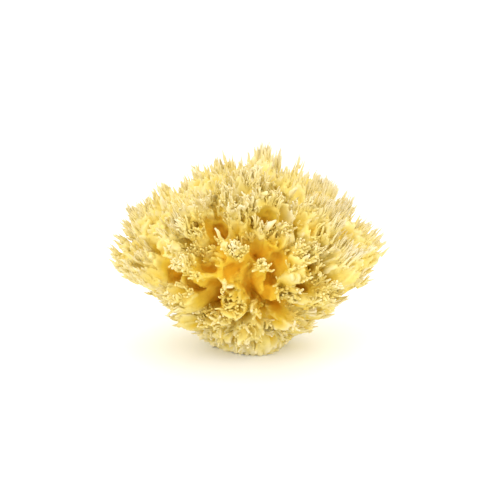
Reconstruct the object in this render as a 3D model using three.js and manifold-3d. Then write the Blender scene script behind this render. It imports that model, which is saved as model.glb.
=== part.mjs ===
// A dried wool sponge from the sea bed: one grown piece, lobed all round like a
// squat chrysanthemum, bowl-shaped below its widest level, and cut off flat where
// it was harvested from the rock. It rests on that cut.
// Millimetres, +Z up, front towards -Y, origin under the middle of the body.

import * as THREE from "three";
import { mergeVertices } from "three/addons/utils/BufferGeometryUtils.js";
import { SimplexNoise } from "three/addons/math/SimplexNoise.js";
import Module from "manifold-3d";

// Driving dimensions of the body, over the tips of its tufts.
const width = 125; // along X
const depth = 115; // along Y
const height = 89; // from the cut to the crown
const rimHeight = 42; // level of the greatest width

// How the outline closes in above and below the rim: 2 is an ellipse, 1 a cone.
const crownRoundness = 1.62;
const bowlRoundness = 1.3;
const bowlDrop = 47.5; // rim to where the bowl would end in a point, below the cut

// Lobes, with a groove round each and a canal mouth where three of them meet.
const lobeCount = 84;
const lobeJitter = 0.3; // of the lobe spacing
const grooveWidth = 5.5;
const grooveDepth = 4.5;
const mouthWidth = 8;
const mouthDepth = 5;
const plainHeight = 13; // the grooves fade out below this, so that the cut is one round face

// Slow swelling of the whole outline.
const swellHeight = 2.2;
const swellSpacing = 38;

// The two deep canals that fork round the middle lobe of the front. Each point is
// [degrees right of the front, degrees above the rim], seen from the middle.
const canalWidth = 5;
const canalDepth = 10;
const frontCanals = [
  [[8, 30], [3, 15], [0, 0], [4, -12], [13, -24]],
  [[5, 15], [15, 12], [21, -2], [25, -14], [19, -27]],
];

const subdivisions = 18; // of each side of the icosahedron that is shaped
const seed = 20;

const middle = new THREE.Vector3(0, 0, rimHeight);
const meanRadius = (width + depth) / 4;

function seededRandom(start) {
  let state = start;
  return () => {
    state = (state * 1664525 + 1013904223) % 4294967296;
    return state / 4294967296;
  };
}

const random = seededRandom(seed);
const noise = new SimplexNoise({ random });

// Distance from the middle to the smooth outline, in a direction.
function outlineRadius(direction) {
  const above = direction.z > 0;
  const power = above ? crownRoundness : bowlRoundness;
  const reach = above ? height - rimHeight : bowlDrop;
  const across = Math.hypot(direction.x / (width / 2), direction.y / (depth / 2));
  const along = Math.abs(direction.z) / reach;
  return (across ** power + along ** power) ** (-1 / power);
}

// Lobe middles on a spiral round the sphere, each moved a little at random.
function lobeDirections() {
  const goldenAngle = Math.PI * (3 - Math.sqrt(5));
  const spacing = Math.sqrt((4 * Math.PI) / lobeCount);
  return Array.from({ length: lobeCount }, (_, i) => {
    const z = 1 - (2 * i + 1) / lobeCount;
    const ring = Math.sqrt(1 - z * z);
    const angle = i * goldenAngle;
    const shift = new THREE.Vector3(random() - 0.5, random() - 0.5, random() - 0.5);
    return new THREE.Vector3(ring * Math.cos(angle), ring * Math.sin(angle), z)
      .addScaledVector(shift, 2 * lobeJitter * spacing)
      .normalize();
  });
}

// A direction given in degrees right of the front and above the rim.
function frontDirection([right, up]) {
  const a = THREE.MathUtils.degToRad(right);
  const e = THREE.MathUtils.degToRad(up);
  return new THREE.Vector3(
    Math.sin(a) * Math.cos(e),
    -Math.cos(a) * Math.cos(e),
    Math.sin(e),
  );
}

const lobes = lobeDirections();
const canals = frontCanals.map((points) => points.map(frontDirection));

// 1 on a line, falling almost to nothing at twice this size from it.
const hollow = (distance, size) => Math.exp(-((distance / size) ** 2));

// How deep the grooves and canal mouths between the lobes are, in a direction.
function grooveAt(direction) {
  const away = lobes
    .map((lobe) => direction.angleTo(lobe) * meanRadius)
    .sort((a, b) => a - b);
  return (
    grooveDepth * hollow(away[1] - away[0], grooveWidth) +
    mouthDepth * hollow(away[2] - away[0], mouthWidth)
  );
}

// How deep the front canals are, in a direction.
function canalAt(direction) {
  const here = direction.clone().multiplyScalar(meanRadius);
  const onCanal = new THREE.Vector3();
  let nearest = Infinity;
  for (const points of canals) {
    for (let i = 1; i < points.length; i += 1) {
      const stretch = new THREE.Line3(
        points[i - 1].clone().multiplyScalar(meanRadius),
        points[i].clone().multiplyScalar(meanRadius),
      );
      stretch.closestPointToPoint(here, true, onCanal);
      nearest = Math.min(nearest, here.distanceTo(onCanal));
    }
  }
  return canalDepth * hollow(nearest, canalWidth);
}

function swellAt(direction) {
  const p = direction.clone().multiplyScalar(meanRadius / swellSpacing);
  return swellHeight * noise.noise3d(p.x, p.y, p.z);
}

function spongeGeometry() {
  const geometry = new THREE.IcosahedronGeometry(1, subdivisions);
  geometry.deleteAttribute("normal");
  geometry.deleteAttribute("uv");
  const shaped = mergeVertices(geometry);
  const position = shaped.getAttribute("position");
  const direction = new THREE.Vector3();
  for (let i = 0; i < position.count; i += 1) {
    direction.fromBufferAttribute(position, i).normalize();
    const smooth = outlineRadius(direction);
    const level = rimHeight + smooth * direction.z;
    const hollowed =
      Math.max(grooveAt(direction), canalAt(direction)) *
      THREE.MathUtils.smoothstep(level, 0, plainHeight);
    const radius = smooth + swellAt(direction) - hollowed;
    position.setXYZ(i, ...direction.multiplyScalar(radius).add(middle));
  }
  return shaped;
}

function boxGeometry(size, height) {
  const geometry = new THREE.BoxGeometry(size, size, height);
  geometry.translate(0, 0, height / 2);
  geometry.deleteAttribute("normal");
  geometry.deleteAttribute("uv");
  return mergeVertices(geometry);
}

const wasm = await Module();
wasm.setup();

function solidOf(geometry) {
  return new wasm.Manifold(
    new wasm.Mesh({
      numProp: 3,
      vertProperties: geometry.getAttribute("position").array,
      triVerts: new Uint32Array(geometry.index.array),
    }),
  );
}

// Keeps what is above the harvest cut, at height 0.
function cutFlat(geometry) {
  const kept = solidOf(geometry).intersect(solidOf(boxGeometry(2 * width, 2 * height)));
  const mesh = kept.getMesh();
  const cut = new THREE.BufferGeometry();
  cut.setAttribute("position", new THREE.BufferAttribute(mesh.vertProperties, 3));
  cut.setIndex(new THREE.BufferAttribute(mesh.triVerts, 1));
  return cut;
}

// Puts the origin under the middle of the body.
function centred(geometry) {
  geometry.computeBoundingBox();
  const centre = geometry.boundingBox.getCenter(new THREE.Vector3());
  geometry.translate(-centre.x, -centre.y, 0);
  geometry.computeVertexNormals();
  return geometry;
}

const sponge = new THREE.Mesh(
  centred(cutFlat(spongeGeometry())),
  new THREE.MeshStandardMaterial({ color: 0xefd588, roughness: 0.9, metalness: 0 }),
);
sponge.name = "sponge";

const part = new THREE.Group();
part.add(sponge);

export default part;
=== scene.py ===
import bpy
import math
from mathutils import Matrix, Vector


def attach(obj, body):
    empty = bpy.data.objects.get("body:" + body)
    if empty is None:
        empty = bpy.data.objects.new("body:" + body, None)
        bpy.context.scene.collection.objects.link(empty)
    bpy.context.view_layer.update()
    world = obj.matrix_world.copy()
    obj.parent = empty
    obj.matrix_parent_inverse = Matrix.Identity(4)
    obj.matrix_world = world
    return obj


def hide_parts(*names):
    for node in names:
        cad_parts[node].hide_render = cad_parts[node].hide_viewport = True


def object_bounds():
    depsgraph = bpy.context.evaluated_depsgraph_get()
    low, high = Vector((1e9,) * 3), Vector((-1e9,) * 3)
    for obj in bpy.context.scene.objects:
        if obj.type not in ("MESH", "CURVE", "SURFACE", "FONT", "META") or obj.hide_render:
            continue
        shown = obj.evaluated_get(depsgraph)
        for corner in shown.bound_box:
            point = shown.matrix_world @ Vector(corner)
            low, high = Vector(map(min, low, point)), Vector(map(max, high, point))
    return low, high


# A dried wool sponge on a white studio floor.
# Settings are in millimetres and degrees. Meshes are in metres, in the frame's own axes:
# +Z up from the harvest cut, front towards -Y.

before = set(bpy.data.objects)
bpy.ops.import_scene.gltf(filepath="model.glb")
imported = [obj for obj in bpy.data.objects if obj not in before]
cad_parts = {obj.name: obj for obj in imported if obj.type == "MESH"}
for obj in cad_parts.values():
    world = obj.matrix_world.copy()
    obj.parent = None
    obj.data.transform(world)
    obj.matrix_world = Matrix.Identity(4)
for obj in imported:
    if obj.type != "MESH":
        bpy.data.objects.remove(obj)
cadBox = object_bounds()

mm = 0.001
noiseRange = (0.3, 0.7)  # where nearly all the values of a noise lie
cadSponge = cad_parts["sponge"]

studio = {
    "cameraElevation": 14, "cameraDistance": 600, "lens": 96.8,
    "aim": (0.9, 0, 43.7),
    "worldStrength": 1.12,
    "lightAngle": 50,
    "lights": {
        # where each light comes from, and its strength
        "keyLight": ((-0.6, -0.65, 0.6), 1.0),
        "fillLight": ((0.8, -0.4, 0.5), 0.8),
        "backLight": ((0.2, 0.8, 0.6), 0.8),
    },
    "floorHalf": 4000, "floorColour": (0.9, 0.9, 0.9), "floorRoughness": 0.9,
}

growth = {
    # height above the cut that the walls fan out from, at the sides and at the front and back,
    # and where the sides change to the front, as the Y of a level direction
    "sideCentre": 8.0, "frontCentre": 30.0, "facingFrom": 0.45, "facingTo": 0.97,
    "joinWithin": 0.001,
    "evening": 40,  # passes that smooth the lobes away, to lay out the cells
    "lobeBlend": 1.5, "farthest": 200.0,
    # how far the walls stand past the lobes, and past the foot up to a height
    "proud": 0.5, "footProud": 2.5, "footProudTop": 10.0,
    # the foot runs on through the plane of the cut, so that the cut is flat and not tufted
    "beyondCut": 5.0, "cutBand": 0.4,
    # cells are this many times shallower near the cut, and full depth above a height
    "shallower": 2.4, "shallowBelow": 2.0, "fullAbove": 26.0,
}


def cameraPlace():
    # where the camera is, in mm, and the way that is up in its view
    elevation = math.radians(studio["cameraElevation"])
    back = Vector((0, -math.cos(elevation), math.sin(elevation)))
    upwards = Vector((0, math.sin(elevation), math.cos(elevation)))
    return Vector(studio["aim"]) + back * studio["cameraDistance"], upwards


def feed(tree, socket, value):
    # links a socket, or sets a plain value
    if isinstance(value, bpy.types.NodeSocket):
        tree.links.new(value, socket)
    else:
        socket.default_value = value


def addNode(tree, kind, inputs=None, **settings):
    node = tree.nodes.new(kind)
    for name, value in settings.items():
        setattr(node, name, value)
    for name, value in (inputs or {}).items():
        feed(tree, node.inputs[name], value)
    return node


def scalar(tree, operation, *values):
    node = addNode(tree, "ShaderNodeMath", operation=operation)
    for socket, value in zip(node.inputs, values):
        feed(tree, socket, value)
    return node.outputs[0]


def vector(tree, operation, *values, scale=None):
    node = addNode(tree, "ShaderNodeVectorMath", operation=operation)
    for socket, value in zip(node.inputs, values):
        feed(tree, socket, value)
    if scale is not None:
        feed(tree, node.inputs["Scale"], scale)
    return node.outputs["Value" if operation in ("LENGTH", "DISTANCE", "DOT_PRODUCT") else "Vector"]


def part(tree, value, axis):
    return addNode(tree, "ShaderNodeSeparateXYZ", {"Vector": value}).outputs[axis]


def combined(tree, **axes):
    return addNode(tree, "ShaderNodeCombineXYZ", axes).outputs[0]


def remap(tree, value, fromMin, fromMax, toMin, toMax, kind="LINEAR"):
    node = addNode(tree, "ShaderNodeMapRange", {
        "Value": value, "From Min": fromMin, "From Max": fromMax, "To Min": toMin, "To Max": toMax,
    }, interpolation_type=kind)
    return node.outputs["Result"]


def noise(tree, place, scale, detail=0.0, output="Fac"):
    return addNode(tree, "ShaderNodeTexNoise", {
        "Vector": place, "Scale": scale, "Detail": detail}).outputs[output]


def stray(tree, place, scale, amount, detail=0.0):
    # a random step that changes smoothly from place to place
    step = vector(tree, "SUBTRACT", noise(tree, place, scale, detail, "Color"), (0.5, 0.5, 0.5))
    return vector(tree, "SCALE", step, scale=amount)


def stored(tree, label):
    return addNode(tree, "GeometryNodeInputNamedAttribute", {"Name": label}, data_type="FLOAT").outputs[0]


def store(tree, geometry, label, value):
    return addNode(tree, "GeometryNodeStoreNamedAttribute", {
        "Geometry": geometry, "Name": label, "Value": value}, data_type="FLOAT", domain="POINT").outputs[0]


def moved(tree, geometry, **change):
    return addNode(tree, "GeometryNodeSetPosition", {"Geometry": geometry, **change}).outputs[0]


def resized(tree, geometry, factor):
    return addNode(tree, "GeometryNodeTransform", {"Geometry": geometry, "Scale": (factor,) * 3}).outputs[0]


def shapeOf(tree, thing):
    return addNode(tree, "GeometryNodeObjectInfo", {"Object": thing}).outputs["Geometry"]


def hereIn(tree):
    return addNode(tree, "GeometryNodeInputPosition").outputs[0]


def geometryTree(name, inputs):
    # a tree with named inputs; returns it with its input sockets and its output node
    tree = bpy.data.node_groups.new(name, "GeometryNodeTree")
    for label, kind in inputs.items():
        tree.interface.new_socket(label, in_out="INPUT", socket_type=f"NodeSocket{kind}")
    tree.interface.new_socket("Geometry", in_out="OUTPUT", socket_type="NodeSocketGeometry")
    return tree, addNode(tree, "NodeGroupInput").outputs, addNode(tree, "NodeGroupOutput")


def endTree(tree, mesh, material, result):
    # smooth shading, metres, real geometry and the finish
    smooth = addNode(tree, "GeometryNodeSetShadeSmooth", {"Geometry": mesh}).outputs[0]
    real = addNode(tree, "GeometryNodeRealizeInstances", {"Geometry": resized(tree, smooth, mm)}).outputs[0]
    painted = addNode(tree, "GeometryNodeSetMaterial", {"Geometry": real, "Material": material}).outputs[0]
    tree.links.new(painted, result.inputs[0])


def addTree(piece, tree, values):
    # adds the tree as a modifier, with its inputs set by identifier
    modifier = piece.modifiers.new(tree.name, "NODES")
    modifier.node_group = tree
    identifiers = {
        item.name: item.identifier for item in tree.interface.items_tree if item.in_out == "INPUT"
    }
    for label, value in values.items():
        modifier[identifiers[label]] = value


def newPiece(name):
    piece = bpy.data.objects.new(name, bpy.data.meshes.new(name))
    bpy.context.scene.collection.objects.link(piece)
    return piece


def triangles(piece):
    return sum(len(face.vertices) - 2 for face in piece.data.polygons)


def freeze(piece):
    # turns the modifiers' result into the piece's own plain mesh
    evaluated = piece.evaluated_get(bpy.context.evaluated_depsgraph_get())
    made = bpy.data.meshes.new_from_object(evaluated)
    piece.modifiers.clear()
    piece.data = made
    made.name = piece.name


def growthAxis(tree, position):
    # the centre that the walls at a place fan out from, and the step from there to the place
    flat = vector(tree, "NORMALIZE", vector(tree, "MULTIPLY", position, (1, 1, 0)))
    facing = scalar(tree, "ABSOLUTE", part(tree, flat, "Y"))
    level = remap(tree, facing, growth["facingFrom"], growth["facingTo"],
                  growth["sideCentre"], growth["frontCentre"], "SMOOTHSTEP")
    centre = combined(tree, Z=level)
    return centre, vector(tree, "SUBTRACT", position, centre)


def growthField(tree, position, cadShape):
    # where the direction of growth at a place leaves the body, and the depth of the place under the lobes
    centre, fromCentre = growthAxis(tree, position)
    outward = vector(tree, "NORMALIZE", fromCentre)
    lobed = addNode(tree, "GeometryNodeMergeByDistance", {
        "Geometry": resized(tree, cadShape, 1 / mm), "Distance": growth["joinWithin"]}).outputs[0]
    evened = addNode(tree, "GeometryNodeBlurAttribute", {
        "Value": hereIn(tree), "Iterations": growth["evening"]}, data_type="FLOAT_VECTOR").outputs[0]
    smooth = moved(tree, lobed, Position=evened)

    def outTo(target):
        return addNode(tree, "GeometryNodeRaycast", {
            "Target Geometry": target, "Source Position": centre,
            "Ray Direction": outward, "Ray Length": growth["farthest"],
        }).outputs
    leavesSmooth, leavesLobed = outTo(smooth), outTo(lobed)
    level = part(tree, leavesLobed["Hit Position"], "Z")
    leaves = scalar(tree, "SMOOTH_MAX", leavesSmooth["Hit Distance"],
                    leavesLobed["Hit Distance"], growth["lobeBlend"])
    proud = remap(tree, level, 0.0, growth["footProudTop"], growth["footProud"], growth["proud"])
    beyondCut = remap(tree, level, 0.0, growth["cutBand"], growth["beyondCut"], 0.0)
    reach = scalar(tree, "ADD", scalar(tree, "ADD", leaves, proud), beyondCut)
    depth = scalar(tree, "SUBTRACT", reach, vector(tree, "LENGTH", fromCentre))
    shallower = remap(tree, level, growth["shallowBelow"], growth["fullAbove"], growth["shallower"], 1.0)
    return leavesSmooth["Hit Position"], scalar(tree, "MULTIPLY", depth, shallower)


walls = {
    # rim and floor are half a wall's thickness at its top and where the cell ends
    "sizes": {
        "Canal Spacing": 13.5, "Canal Depth": 20.0,
        "Canal Rim": 0.6, "Canal Floor": 5.8, "Canal Curve": 3.0,
        "Pit Spacing": 6.4, "Pit Depth": 12.0,
        "Pit Rim": 0.5, "Pit Floor": 2.5, "Pit Curve": 2.5,
        "Pit Crest": 9.0,  # how much lower the pits' walls are inside the wide canals
        "Finger Spacing": 2.4, "Finger Tip": 4.0, "Finger Point": 0.45, "Finger Taper": 0.26,
        "Swell": 3.0, "Uneven": 1.2,
        "Heart": 20.5,  # solid below this depth
    },
    "wander": ((20, 12), (7, 3)),  # how far apart a wall's bends are, and how far they stray
    "curl": (4.5, 1.8), "hollowWander": (6, 4),  # the same for the fingers and for the front hollows
    "swellSize": 14, "unevenSize": 4,
    "smoothBelow": 1.0, "tuftedAbove": 16.0, "smoothShare": 0.15,  # the bowl is smoother near the cut
    "cellDepths": (0.6, 1.4),  # each cell's own share of the depth
    # wide canals fill the inside of this ball, and thin out from inside its surface to outside it
    "coarseMiddle": (0, -50, 34), "coarseRadius": 38, "coarseInner": 14.0, "coarseOuter": 6.0,
    # how softly one shape runs into the next
    "fingerBlend": 0.3, "cellBlend": 0.5, "hollowBlend": 0.8, "heartBlend": 1.5,
    "hollowCurve": 2.5, "hollowClosing": 1.0,
    # what the depth and the drop from the tips count for in the painted shade of the colour
    "depthShade": 0.55, "underShade": 0.45,
    "crumb": 5000.0,  # loose pieces with fewer points than this are dropped
    "voxel": 0.62, "quickVoxels": 1.5, "margin": 3, "triangles": 190000,
}

frontHollows = {
    # the hollows that show most at the front, and their routes as the camera sees them:
    # (mm right of the middle, mm above the middle of the cut)
    "Cups": {"radius": 7.2, "depth": 21.0, "routes": [
        [(6, 46), (11, 45)],
        [(-18, 60), (-18, 54)],
        [(-12, 36), (-10, 35)],
        [(-20, 25), (-19, 15)],
        [(13, 14), (18, 14)],
        [(-2, 35), (0, 28), (3, 22)],
    ]},
    "Canals": {"radius": 5.0, "depth": 22.0, "routes": [
        [(3, 22), (6, 18), (10, 16)],
        [(18, 43), (15, 34), (14, 26), (13, 18)],
        [(11, 65), (13, 62)],
        [(-26, 37), (-23, 36)],
        [(-43, 38), (-41, 34)],
        [(-36, 30), (-33, 27)],
        [(31, 27), (34, 26)],
    ]},
    "Pits": {"radius": 2.9, "depth": 15.0, "routes": [
        [(2, 62), (1, 58)],
        [(-11, 52), (-8, 51)],
        [(31, 39), (32, 37)],
        [(25, 60), (27, 56)],
        [(22, 46), (24, 44)],
        [(15, 80), (17, 72)],
        [(42, 32), (44, 30)],
        [(43, 23), (46, 23)],
        [(-48, 48), (-45, 46)],
        [(-35, 50), (-33, 46)],
        [(-1, 19), (0, 18)],
        [(35, 27), (36, 26)],
        [(-28, 48), (-27, 44)],
        [(-17, 72), (-17, 66)],
        [(-31, 62), (-29, 57)],
    ]},
}


def wallTree():
    tree, want, result = geometryTree("spongeWalls", {
        "CAD Shape": "Object",
        **{kind: "Object" for kind in frontHollows},
        **{size: "Float" for size in walls["sizes"]},
        "Columns": "Int", "Rows": "Int", "Levels": "Int",
        "Lowest": "Vector", "Highest": "Vector",
        "Material": "Material",
    })
    position = hereIn(tree)
    place, depth = growthField(tree, position, shapeOf(tree, want["CAD Shape"]))

    def wobble(value, size, amount):
        return vector(tree, "ADD", value, stray(tree, position, 1 / size, float(amount)))

    # walls wander a little, and fingers curl more finely
    wandering = place
    for size, amount in walls["wander"]:
        wandering = wobble(wandering, size, amount)
    curling = wobble(wandering, *walls["curl"])
    tufted = remap(tree, part(tree, position, "Z"), walls["smoothBelow"], walls["tuftedAbove"],
                   walls["smoothShare"], 1.0)

    def cells(where, spacing, feature):
        perMm = scalar(tree, "DIVIDE", 1.0, spacing)
        node = addNode(tree, "ShaderNodeTexVoronoi", {
            "Vector": vector(tree, "SCALE", where, scale=perMm), "Scale": 1.0}, feature=feature)
        return node.outputs

    fingerCells = cells(curling, want["Finger Spacing"], "F1")
    toFinger = scalar(tree, "MULTIPLY", fingerCells["Distance"], want["Finger Spacing"])
    lowestTip = scalar(tree, "MULTIPLY", want["Finger Tip"], tufted)
    tip = scalar(tree, "MULTIPLY", part(tree, fingerCells["Color"], "X"), lowestTip)

    def cellWalls(kind, crest):
        # half the wall's thickness grows with depth, until the walls meet in the cell's floor
        below = scalar(tree, "SUBTRACT", depth, crest)
        spacing = want[f"{kind} Spacing"]
        toWall = cells(wandering, spacing, "DISTANCE_TO_EDGE")["Distance"]
        toWall = scalar(tree, "MULTIPLY", toWall, spacing)
        chance = part(tree, cells(wandering, spacing, "F1")["Color"], "X")
        howDeep = remap(tree, chance, 0.0, 1.0, *walls["cellDepths"])
        floorDepth = scalar(tree, "MULTIPLY", want[f"{kind} Depth"], howDeep)
        share = scalar(tree, "MAXIMUM", scalar(tree, "DIVIDE", below, floorDepth), 0.0)
        thickening = scalar(tree, "SUBTRACT", want[f"{kind} Floor"], want[f"{kind} Rim"])
        half = scalar(tree, "MULTIPLY_ADD", scalar(tree, "POWER", share, want[f"{kind} Curve"]),
                      thickening, want[f"{kind} Rim"])
        wall = scalar(tree, "SUBTRACT", half, toWall)
        toTip = scalar(tree, "SUBTRACT", below, tip)
        width = scalar(tree, "MULTIPLY_ADD", toTip, want["Finger Taper"], want["Finger Point"])
        fingers = scalar(tree, "SUBTRACT", width, toFinger)
        return scalar(tree, "SMOOTH_MIN", wall, fingers, walls["fingerBlend"]), toTip

    # wide canals at the front, with low walls between the pits inside them; elsewhere only close pits
    fromPatch = vector(tree, "DISTANCE", place, walls["coarseMiddle"])
    fine = remap(tree, fromPatch, walls["coarseRadius"] - walls["coarseInner"],
                 walls["coarseRadius"] + walls["coarseOuter"], 0.0, 1.0, "SMOOTHSTEP")
    swell = remap(tree, noise(tree, position, 1 / walls["swellSize"]), *noiseRange, 0.0, want["Swell"])
    swell = scalar(tree, "MULTIPLY", swell, tufted)
    canals, underCanals = cellWalls("Canal", swell)
    lower = scalar(tree, "MULTIPLY", scalar(tree, "SUBTRACT", 1.0, fine), want["Pit Crest"])
    pits, underPits = cellWalls("Pit", scalar(tree, "ADD", lower, swell))
    solid = scalar(tree, "SMOOTH_MAX", canals, pits, walls["cellBlend"])
    # mm under the tips of the wall that a place belongs to
    onPits = addNode(tree, "FunctionNodeCompare", {"A": pits, "B": canals}, operation="GREATER_THAN")
    under = addNode(tree, "GeometryNodeSwitch", {
        "Switch": onPits.outputs[0], "False": underCanals, "True": underPits,
    }, input_type="FLOAT").outputs[0]

    # the listed hollows at the front, with round floors and uneven sides
    uneven = remap(tree, noise(tree, position, 1 / walls["unevenSize"], 1.0), *noiseRange,
                   scalar(tree, "MULTIPLY", want["Uneven"], -1.0), want["Uneven"])
    for kind, hollow in frontHollows.items():
        lines = moved(tree, shapeOf(tree, want[kind]), Position=place)
        nearest = addNode(tree, "GeometryNodeProximity", {
            "Geometry": lines, "Sample Position": wobble(place, *walls["hollowWander"]),
        }, target_element="EDGES")
        share = scalar(tree, "DIVIDE", scalar(tree, "MAXIMUM", depth, 0.0), hollow["depth"])
        narrowing = scalar(tree, "SUBTRACT", 1.0, scalar(tree, "POWER", share, walls["hollowCurve"]))
        profile = scalar(tree, "SQRT", scalar(tree, "MAXIMUM", narrowing, 0.0))
        # the hollow closes below its floor
        closing = walls["hollowClosing"]
        away = scalar(tree, "ADD", nearest.outputs["Distance"], closing)
        clear = scalar(tree, "MULTIPLY_ADD", profile, -closing - hollow["radius"], away)
        solid = scalar(tree, "SMOOTH_MIN", solid, scalar(tree, "ADD", clear, uneven), walls["hollowBlend"])
    heart = scalar(tree, "ADD", scalar(tree, "SUBTRACT", depth, want["Heart"]), uneven)
    solid = scalar(tree, "SMOOTH_MAX", solid, heart, walls["heartBlend"])
    solid = scalar(tree, "MINIMUM", solid, part(tree, position, "Z"))

    cube = addNode(tree, "GeometryNodeVolumeCube", {
        "Density": solid, "Background": -1.0, "Min": want["Lowest"], "Max": want["Highest"],
        "Resolution X": want["Columns"], "Resolution Y": want["Rows"], "Resolution Z": want["Levels"],
    })
    mesh = addNode(tree, "GeometryNodeVolumeToMesh", {
        "Volume": cube.outputs[0], "Threshold": 0.0}).outputs[0]
    mesh = store(tree, mesh, "depth", depth)
    # painted shade: the deeper a place lies and the farther under the tips, the darker and more orange its
    # colour
    mesh = store(tree, mesh, "shade", scalar(
        tree, "ADD", scalar(tree, "MULTIPLY", depth, walls["depthShade"]),
        scalar(tree, "MULTIPLY", under, walls["underShade"])))
    island = addNode(tree, "GeometryNodeInputMeshIsland").outputs["Island Index"]
    count = addNode(tree, "GeometryNodeAccumulateField", {
        "Value": 1.0, "Group ID": island}).outputs["Total"]
    crumbs = addNode(tree, "FunctionNodeCompare", {"A": count, "B": walls["crumb"]}, operation="LESS_THAN")
    mesh = addNode(tree, "GeometryNodeDeleteGeometry", {
        "Geometry": mesh, "Selection": crumbs.outputs[0]}).outputs[0]
    endTree(tree, mesh, want["Material"], result)
    return tree


def onFront(right, up):
    # the CAD surface where the camera sees a point of the front
    camera, upwards = cameraPlace()
    through = Vector((right, 0, 0)) + upwards * up
    hit, place, _, _ = cadSponge.ray_cast(camera * mm, (through - camera).normalized())
    if not hit:
        raise ValueError(f"no surface at {right}, {up}")
    return Vector(place) / mm


def hollowLines(kind):
    # the routes, laid on the front of the CAD surface as edges
    lines = newPiece(kind)
    points, edges = [], []
    for route in frontHollows[kind]["routes"]:
        for i, (right, up) in enumerate(route):
            points.append(onFront(right, up))
            if i:
                edges.append((len(points) - 2, len(points) - 1))
    lines.data.from_pydata(points, edges, [])
    return lines


def makeWalls(finish):
    voxel = walls["voxel"] * 1
    margin = Vector((walls["margin"],) * 3)
    lowest = Vector(cadBox[0]) / mm - margin
    highest = Vector(cadBox[1]) / mm + margin
    size = highest - lowest
    piece = newPiece("spongeWalls")
    hollows = {kind: hollowLines(kind) for kind in frontHollows}
    addTree(piece, wallTree(), {
        "CAD Shape": cadSponge, **hollows, **walls["sizes"],
        "Columns": round(size.x / voxel), "Rows": round(size.y / voxel), "Levels": round(size.z / voxel),
        "Lowest": lowest, "Highest": highest, "Material": finish,
    })
    freeze(piece)
    print("walls", len(piece.data.polygons), "faces before thinning")
    thin = piece.modifiers.new("thin", "DECIMATE")
    thin.ratio = min(1, walls["triangles"] / (2 * len(piece.data.polygons)))
    freeze(piece)
    for lines in hollows.values():
        bpy.data.objects.remove(lines)
    print("walls", triangles(piece), "triangles")
    return piece


# the prongs' sizes are random between the shortest and longest, and the thinnest and thickest
antlers = {
    "Roots": 800, "Forks": 3, "Deepest Root": 14.0, "Low Share": 0.22,
    "Shortest": 3.0, "Longest": 6.5, "Thinnest": 0.5, "Thickest": 0.9,
    "Spread": 0.65, "Lift": 0.15, "Bend": 4.5, "Tip": 0.6, "Sides": 5,
}
fringe = {
    "Roots": 1500, "Forks": 1, "Deepest Root": 5.0, "Low Share": 0.06,
    "Shortest": 3.0, "Longest": 6.5, "Thinnest": 0.45, "Thickest": 0.80,
    "Spread": 0.30, "Lift": 0.3, "Bend": 2.4, "Tip": 0.2, "Sides": 4,
}
tufts = {
    # a group a side
    "front": {**antlers, "Towards": (0.0, -1.0, 0.0), "Seed": 3},
    "right": {**fringe, "Towards": (1.0, 0.0, 0.0), "Shortest": 3.5, "Longest": 8.0, "Seed": 5},
    "back": {**fringe, "Towards": (0.0, 1.0, 0.0), "Seed": 7},
    "left": {
        **fringe, "Towards": (-1.0, 0.0, 0.0), "Shortest": 2.5, "Longest": 5.5, "Lift": 0.25, "Seed": 9,
    },
}
prongs = {
    # the same on every side
    "sideHalfAngle": 45, "facingOut": 0.25, "clearOfCut": 5.0,
    "patchSize": 8, "patchFrom": 0.42, "patchTo": 0.58, "sparse": 0.25, "dense": 1.6,
    "fewBelow": 12.0, "manyAbove": 30.0,
    "crownFrom": 45.0, "crownTo": 66.0, "crownSpread": 0.5, "crownThickness": 0.65,
    "rootShare": 0.2, "points": 5, "bendsPerMm": 0.28, "narrowFrom": 0.35, "aboveFloor": 0.05,
    "farOff": 1000,
    # a prong's colour is that of this depth of painted shade, which falls towards its pale tip
    "depthShade": 0.5, "rootShade": 3.7, "shadePerMm": -0.72,
}


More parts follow.
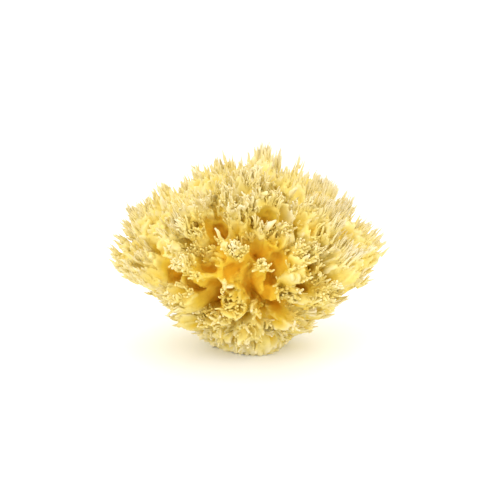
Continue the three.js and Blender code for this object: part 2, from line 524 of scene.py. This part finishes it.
def tuftTree():
    # prongs that grow from the crests of the walls, on one side of the sponge
    tree, want, result = geometryTree("spongeTufts", {
        "Walls": "Object", "Towards": "Vector",
        "Roots": "Int", "Forks": "Int", "Deepest Root": "Float", "Low Share": "Float",
        "Shortest": "Float", "Longest": "Float", "Thinnest": "Float", "Thickest": "Float",
        "Spread": "Float", "Lift": "Float", "Bend": "Float", "Tip": "Float", "Sides": "Int",
        "Seed": "Int", "Material": "Material",
    })
    crests = resized(tree, shapeOf(tree, want["Walls"]), 1 / mm)
    position = hereIn(tree)
    height = part(tree, position, "Z")
    normal = addNode(tree, "GeometryNodeInputNormal").outputs[0]
    depth = stored(tree, "depth")
    _, fromCentre = growthAxis(tree, position)
    outward = vector(tree, "NORMALIZE", fromCentre)

    # this side of the sponge, on what faces out, near the tips, clear of the cut
    flat = vector(tree, "NORMALIZE", vector(tree, "MULTIPLY", position, (1, 1, 0)))
    withinSide = math.cos(math.radians(prongs["sideHalfAngle"]))
    chosen = scalar(tree, "GREATER_THAN", vector(tree, "DOT_PRODUCT", flat, want["Towards"]), withinSide)
    for test in (
        scalar(tree, "GREATER_THAN", vector(tree, "DOT_PRODUCT", normal, outward), prongs["facingOut"]),
        scalar(tree, "LESS_THAN", depth, want["Deepest Root"]),
        scalar(tree, "GREATER_THAN", height, prongs["clearOfCut"]),
    ):
        chosen = scalar(tree, "MULTIPLY", chosen, test)
    patches = remap(tree, noise(tree, position, 1 / prongs["patchSize"]),
                    prongs["patchFrom"], prongs["patchTo"], prongs["sparse"], prongs["dense"])
    low = remap(tree, height, prongs["fewBelow"], prongs["manyAbove"], want["Low Share"], 1.0)
    patches = scalar(tree, "MULTIPLY", patches, low)
    area = addNode(tree, "GeometryNodeInputMeshFaceArea").outputs[0]
    area = scalar(tree, "MULTIPLY", area, chosen)
    total = addNode(tree, "GeometryNodeAttributeStatistic", {
        "Geometry": crests, "Attribute": area}, domain="FACE").outputs["Sum"]
    roots = addNode(tree, "GeometryNodeDistributePointsOnFaces", {
        "Mesh": crests, "Selection": chosen,
        "Density": scalar(tree, "MULTIPLY", patches, scalar(tree, "DIVIDE", want["Roots"], total)),
        "Seed": want["Seed"]}).outputs["Points"]
    forks = addNode(tree, "GeometryNodeDuplicateElements", {
        "Geometry": roots, "Amount": want["Forks"]}, domain="POINT").outputs[0]

    def chance(least, most, draw):
        # each draw has a number of its own, so that no two of them agree
        return addNode(tree, "FunctionNodeRandomValue", {
            "Min": least, "Max": most, "Seed": scalar(tree, "ADD", want["Seed"], float(draw)),
            "ID": addNode(tree, "GeometryNodeInputIndex").outputs[0]}, data_type="FLOAT").outputs["Value"]

    # finer and straighter towards the crown
    crown = remap(tree, height, prongs["crownFrom"], prongs["crownTo"], 0.0, 1.0, "SMOOTHSTEP")
    spread = scalar(tree, "MULTIPLY", want["Spread"], scalar(
        tree, "MULTIPLY_ADD", crown, prongs["crownSpread"] - 1.0, 1.0))
    slim = scalar(tree, "MULTIPLY_ADD", crown, prongs["crownThickness"] - 1.0, 1.0)
    aside = combined(tree, X=chance(-1.0, 1.0, 11), Y=chance(-1.0, 1.0, 12), Z=chance(-1.0, 1.0, 13))
    aim = vector(tree, "ADD", outward, vector(tree, "SCALE", aside, scale=spread))
    aim = vector(tree, "ADD", aim, combined(tree, Z=want["Lift"]))
    turn = addNode(tree, "FunctionNodeAlignRotationToVector", {"Vector": aim}, axis="Z").outputs[0]
    length = chance(want["Shortest"], want["Longest"], 21)
    forks = store(tree, forks, "length", length)
    forks = store(tree, forks, "thick", scalar(
        tree, "MULTIPLY", slim, chance(want["Thinnest"], want["Thickest"], 22)))
    line = addNode(tree, "GeometryNodeCurvePrimitiveLine", {
        "Start": (0, 0, -prongs["rootShare"]), "End": (0, 0, 1 - prongs["rootShare"])}).outputs[0]
    spine = addNode(tree, "GeometryNodeResampleCurve", {
        "Curve": line, "Count": prongs["points"]}).outputs[0]
    spines = addNode(tree, "GeometryNodeInstanceOnPoints", {
        "Points": forks, "Instance": spine, "Rotation": turn,
        "Scale": combined(tree, X=length, Y=length, Z=length)}).outputs[0]
    spines = addNode(tree, "GeometryNodeRealizeInstances", {"Geometry": spines}).outputs[0]

    # bent more towards the tips
    along = addNode(tree, "GeometryNodeSplineParameter").outputs["Factor"]
    bend = scalar(tree, "MULTIPLY", along, want["Bend"])
    spines = moved(tree, spines, Offset=stray(tree, position, prongs["bendsPerMm"], bend, 1.0))
    rise = scalar(tree, "MULTIPLY", stored(tree, "length"), along)
    # painted shade along each prong, deepest at its root and gone at its pale tip
    spines = store(tree, spines, "shade", scalar(
        tree, "MULTIPLY_ADD", depth, prongs["depthShade"],
        scalar(tree, "MULTIPLY_ADD", rise, prongs["shadePerMm"], prongs["rootShade"])))
    ring = addNode(tree, "GeometryNodeCurvePrimitiveCircle", {
        "Resolution": want["Sides"], "Radius": 1.0}).outputs[0]
    narrowing = remap(tree, along, prongs["narrowFrom"], 1.0, 1.0, want["Tip"])
    mesh = addNode(tree, "GeometryNodeCurveToMesh", {
        "Curve": spines, "Profile Curve": ring, "Fill Caps": True,
        "Scale": scalar(tree, "MULTIPLY", stored(tree, "thick"), narrowing)}).outputs[0]
    lowest = (-prongs["farOff"], -prongs["farOff"], prongs["aboveFloor"])
    mesh = moved(tree, mesh, Position=vector(tree, "MAXIMUM", position, lowest))
    endTree(tree, mesh, want["Material"], result)
    return tree


def makeTufts(tree, side, wallsPiece, finish):
    piece = newPiece(f"{side}Tufts")
    addTree(piece, tree, {"Walls": wallsPiece, **tufts[side], "Material": finish})
    freeze(piece)
    print(side, "tufts", triangles(piece), "triangles")
    return piece


skeleton = {
    # depth under the tips in mm, and the colour there: the cream of the tips, then painted shade, darker
    # and more orange deeper in the hollows
    "colours": {
        0.0: (0.87, 0.785, 0.57),
        2.5: (0.85, 0.735, 0.41),
        6.0: (0.83, 0.68, 0.21),
        11.0: (0.77, 0.535, 0.05),
        18.0: (0.68, 0.34, 0.012),
    },
    "mottlesPerMm": 0.3, "darkest": 0.93, "lightest": 1.05,
    "grainPerMm": 1.1, "grainStrength": 0.4, "grainHeight": 0.25,
    "roughness": 0.75, "shine": 0.1,
}


def spongeFinish():
    material = bpy.data.materials.new("spongeSkeleton")
    material.use_nodes = True
    tree = material.node_tree
    shader = tree.nodes["Principled BSDF"]
    levels = sorted(skeleton["colours"])
    # the painted shade picks a colour from the ramp, from the tips' cream to the hollows' orange
    shade = addNode(tree, "ShaderNodeAttribute", attribute_name="shade").outputs["Fac"]
    ramp = addNode(tree, "ShaderNodeValToRGB", {"Fac": scalar(tree, "DIVIDE", shade, levels[-1])})
    stops = ramp.color_ramp.elements
    for level in levels[1:-1]:
        stops.new(level / levels[-1])
    for stop, level in zip(stops, levels):
        stop.color = (*skeleton["colours"][level], 1)
    # a faint mottle and a fine fibrous roughness
    place = addNode(tree, "ShaderNodeTexCoord").outputs["Object"]
    mottle = noise(tree, place, skeleton["mottlesPerMm"] / mm, 3.0)
    tint = remap(tree, mottle, *noiseRange, skeleton["darkest"], skeleton["lightest"])
    feed(tree, shader.inputs["Base Color"], vector(tree, "SCALE", ramp.outputs["Color"], scale=tint))
    bump = addNode(tree, "ShaderNodeBump", {
        "Height": noise(tree, place, skeleton["grainPerMm"] / mm, 2.0),
        "Strength": skeleton["grainStrength"], "Distance": skeleton["grainHeight"] * mm})
    feed(tree, shader.inputs["Normal"], bump.outputs["Normal"])
    feed(tree, shader.inputs["Roughness"], skeleton["roughness"])
    feed(tree, shader.inputs["Specular IOR Level"], skeleton["shine"])
    return material


def makeCamera():
    camera = bpy.data.objects.new("camera", bpy.data.cameras.new("camera"))
    camera.data.lens = studio["lens"]
    place, _ = cameraPlace()
    camera.location = place * mm
    camera.rotation_euler = (Vector(studio["aim"]) - place).to_track_quat("-Z", "Y").to_euler()
    bpy.context.scene.collection.objects.link(camera)
    bpy.context.scene.camera = camera


def softLight(name, place, strength):
    # light from a wide patch of sky, so that the floor is lit evenly
    light = bpy.data.objects.new(name, bpy.data.lights.new(name, "SUN"))
    light.data.angle = math.radians(studio["lightAngle"])
    light.data.energy = strength
    light.rotation_euler = Vector(place).to_track_quat("Z", "Y").to_euler()
    bpy.context.scene.collection.objects.link(light)


def makeFloor():
    half = studio["floorHalf"] * mm
    mesh = bpy.data.meshes.new("floor")
    corners = [(-half, -half, 0), (half, -half, 0), (half, half, 0), (-half, half, 0)]
    mesh.from_pydata(corners, [], [(0, 1, 2, 3)])
    white = bpy.data.materials.new("floorWhite")
    white.use_nodes = True
    shader = white.node_tree.nodes["Principled BSDF"]
    shader.inputs["Base Color"].default_value = (*studio["floorColour"], 1)
    shader.inputs["Roughness"].default_value = studio["floorRoughness"]
    mesh.materials.append(white)
    floor = bpy.data.objects.new("floor", mesh)
    bpy.context.scene.collection.objects.link(floor)
    return floor


def makeStudio():
    world = bpy.data.worlds.new("whiteRoom")
    world.use_nodes = True
    background = world.node_tree.nodes["Background"]
    background.inputs["Color"].default_value = (1, 1, 1, 1)
    background.inputs["Strength"].default_value = studio["worldStrength"]
    bpy.context.scene.world = world
    for name, (place, strength) in studio["lights"].items():
        softLight(name, place, strength)
    bpy.context.scene.view_settings.view_transform = "Standard"


makeCamera()
makeStudio()
floor = makeFloor()
print("studio ready")
finish = spongeFinish()
wallsPiece = makeWalls(finish)
growing = tuftTree()
pieces = [wallsPiece] + [makeTufts(growing, side, wallsPiece, finish) for side in tufts]
for piece in pieces:
    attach(piece, "root")
    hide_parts("sponge")
